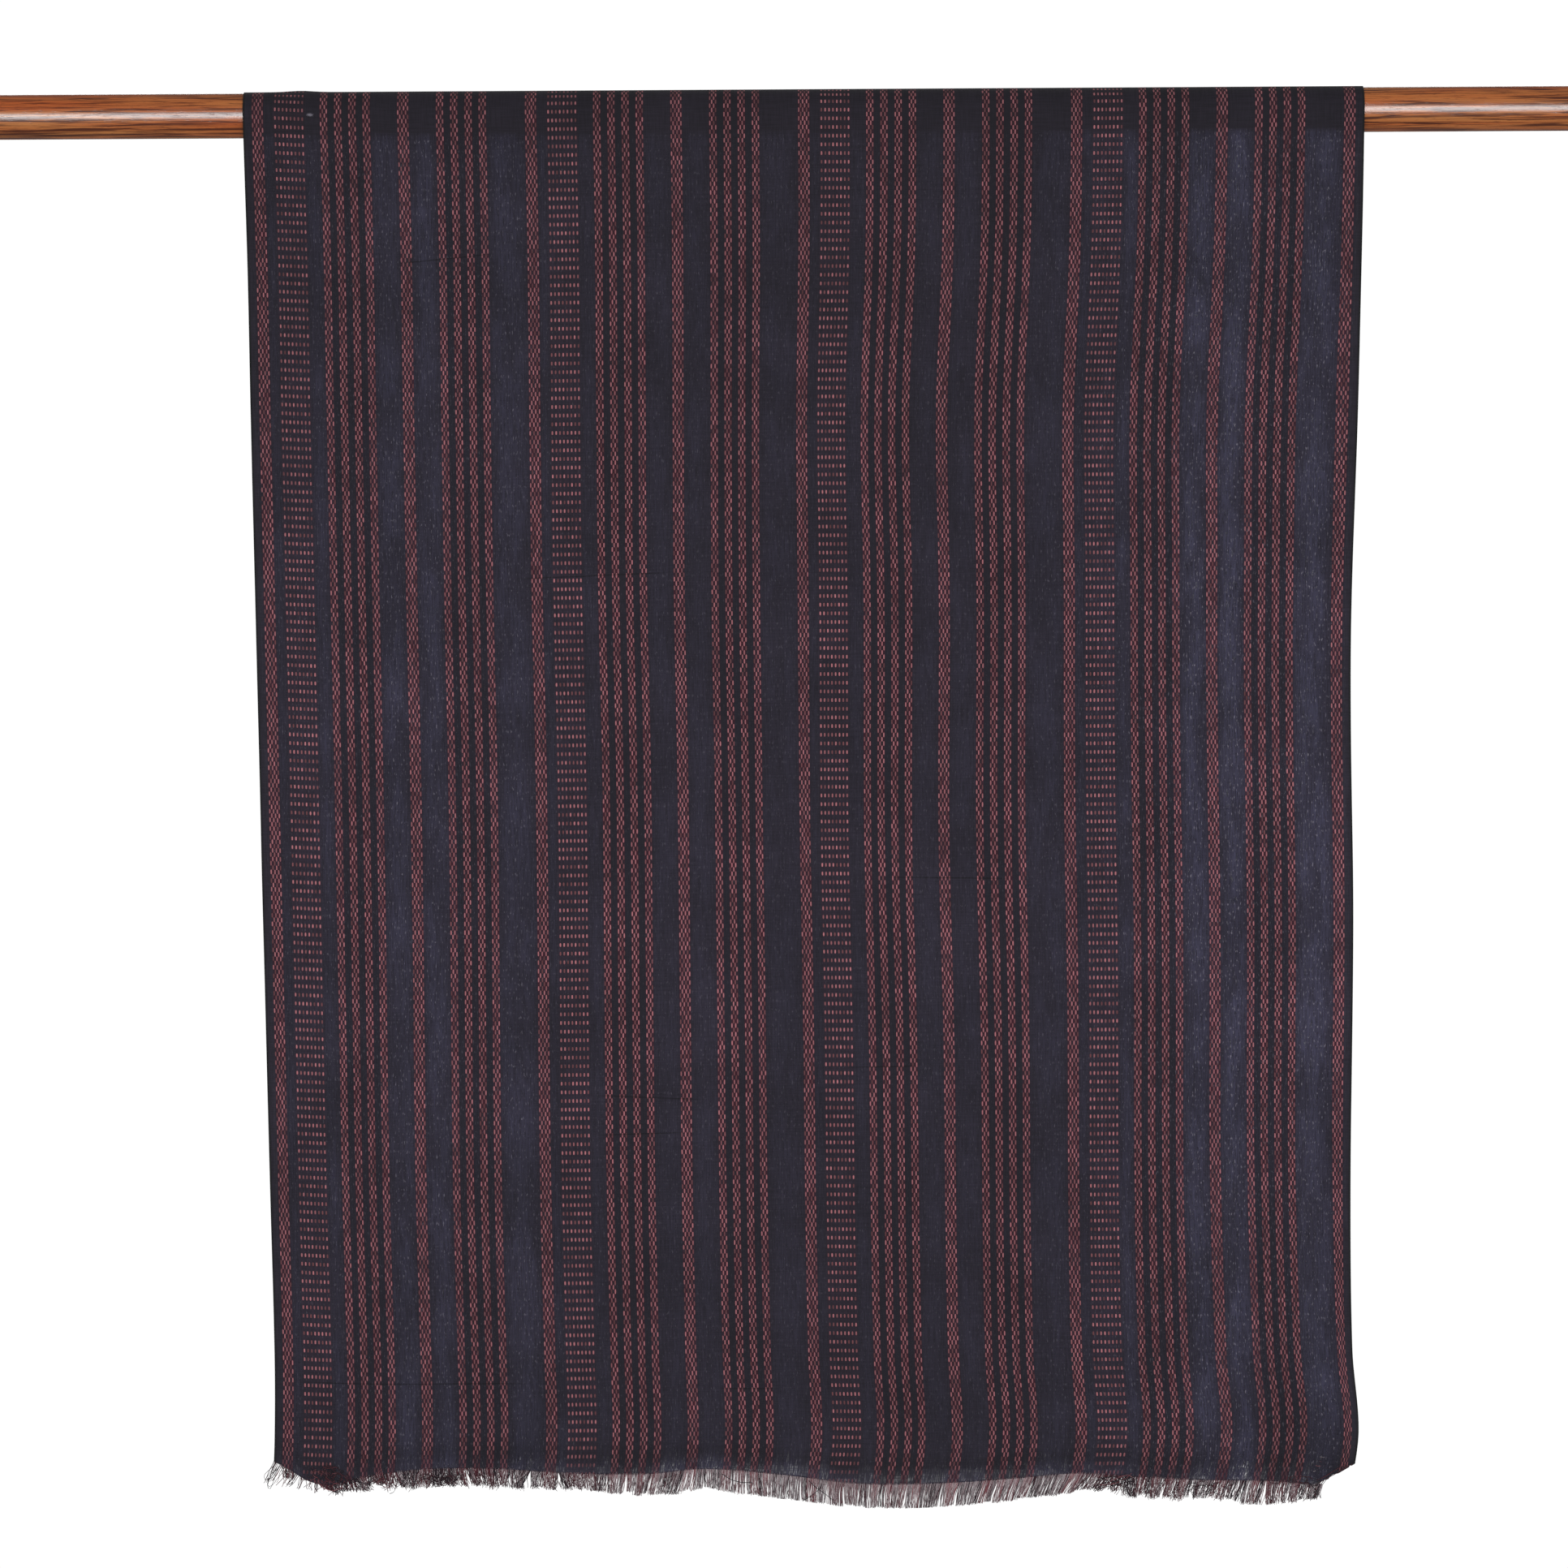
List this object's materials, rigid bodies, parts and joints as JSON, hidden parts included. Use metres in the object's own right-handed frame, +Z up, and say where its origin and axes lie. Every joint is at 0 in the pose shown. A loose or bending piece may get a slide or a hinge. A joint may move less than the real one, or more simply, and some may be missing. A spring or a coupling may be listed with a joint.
{
  "type": "shawl on a rod",
  "caption": "Fringed striped cotton shawl folded over a round wooden rod, hanging flat in front of and behind it.",
  "frame": {"origin": "on the rod's axis, at the middle of the cloth's width, where the rod is held up", "axes": "+X along the rod to the right as seen from the front, +Y to the back, +Z up"},
  "size_m": [1.2, 0.0329, 0.9505],
  "materials": {
    "cloth": "thin matt handwoven cotton, dark navy with stripes of dusty red warp floats",
    "fringe": "loose matt cotton warp ends, navy and maroon",
    "rod": "varnished warm brown hardwood with dark grain streaks"
  },
  "bodies": {
    "root": {"rod": "rod", "rod_fold": "cloth", "front_drop": "cloth", "back_drop": "cloth", "fringe_front": "fringe", "fringe_back": "fringe"}
  },
  "joints": []
}
